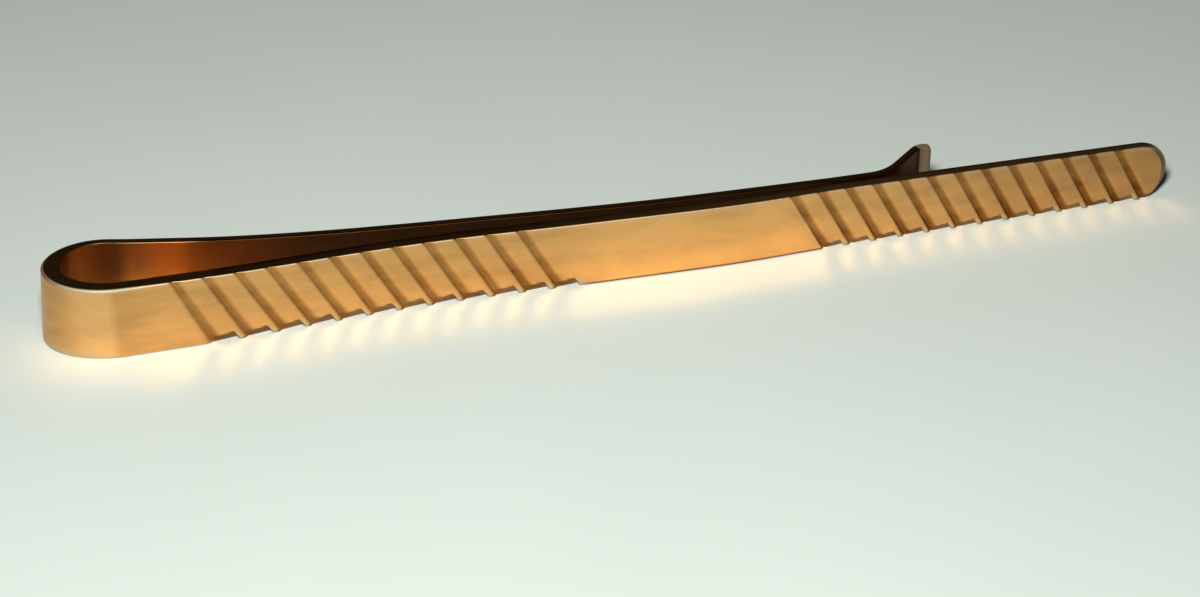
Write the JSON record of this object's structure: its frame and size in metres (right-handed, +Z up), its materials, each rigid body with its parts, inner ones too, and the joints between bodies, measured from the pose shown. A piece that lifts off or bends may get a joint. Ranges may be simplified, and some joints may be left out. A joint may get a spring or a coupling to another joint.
{
  "type": "tie slide",
  "caption": "Gold-toned tie slide: one strip folded into a bow, a front bar with slanted cuts around a plain panel, and a sprung back leaf with a flared lip.",
  "frame": {"origin": "middle of the footprint, with the slide standing on its long lower edge", "axes": "+X along the bar from the bow to the rounded tip, -Y out of the ridged front face, +Z up across the width of the strip"},
  "size_m": [0.0604, 0.005, 0.0041],
  "materials": {
    "polished_gold": "polished, lightly worn",
    "dulled_gold": "polished, dulled by wear and tarnish"
  },
  "bodies": {
    "front": {"ridged_bar": "polished_gold", "plain_panel": "polished_gold", "ridged_tip": "polished_gold", "bow_front": "polished_gold"},
    "bow": {"bow_rear": "dulled_gold"},
    "leaf_root": {"leaf_root": "dulled_gold"},
    "leaf_middle": {"leaf_middle": "dulled_gold"},
    "leaf_fore": {"leaf_fore": "dulled_gold"},
    "leaf_contact": {"leaf_contact": "dulled_gold", "flared_lip": "dulled_gold"}
  },
  "joints": [
    {"name": "leaf_open", "type": "hinge", "parent": "front", "child": "bow", "pos_m": [-0.03, 0.00038, 0], "axis": [0, 0, 1], "range_deg": [0, 0.94], "stiffness_Nm_per_rad": 15.2},
    {"name": "leaf_root_flex", "type": "hinge", "parent": "bow", "child": "leaf_root", "pos_m": [-0.02435, 0.00196, 0], "axis": [0, 0, 1], "range_deg": [0, 2.9]},
    {"name": "leaf_middle_flex", "type": "hinge", "parent": "leaf_root", "child": "leaf_middle", "pos_m": [-0.01585, 0.00053, 0], "axis": [0, 0, 1], "range_deg": [0, 3.46]},
    {"name": "leaf_fore_flex", "type": "hinge", "parent": "leaf_middle", "child": "leaf_fore", "pos_m": [-0.00685, -0.00024, 0], "axis": [0, 0, 1], "range_deg": [0, 2.3]},
    {"name": "leaf_contact_flex", "type": "hinge", "parent": "leaf_fore", "child": "leaf_contact", "pos_m": [0.00315, -0.00088, 0], "axis": [0, 0, 1], "range_deg": [0, 1.31]}
  ],
  "couplings": [
    {"joint": "leaf_root_flex", "follows": "leaf_open", "ratio": 3.08},
    {"joint": "leaf_middle_flex", "follows": "leaf_open", "ratio": 3.67},
    {"joint": "leaf_fore_flex", "follows": "leaf_open", "ratio": 2.44},
    {"joint": "leaf_contact_flex", "follows": "leaf_open", "ratio": 1.39}
  ]
}
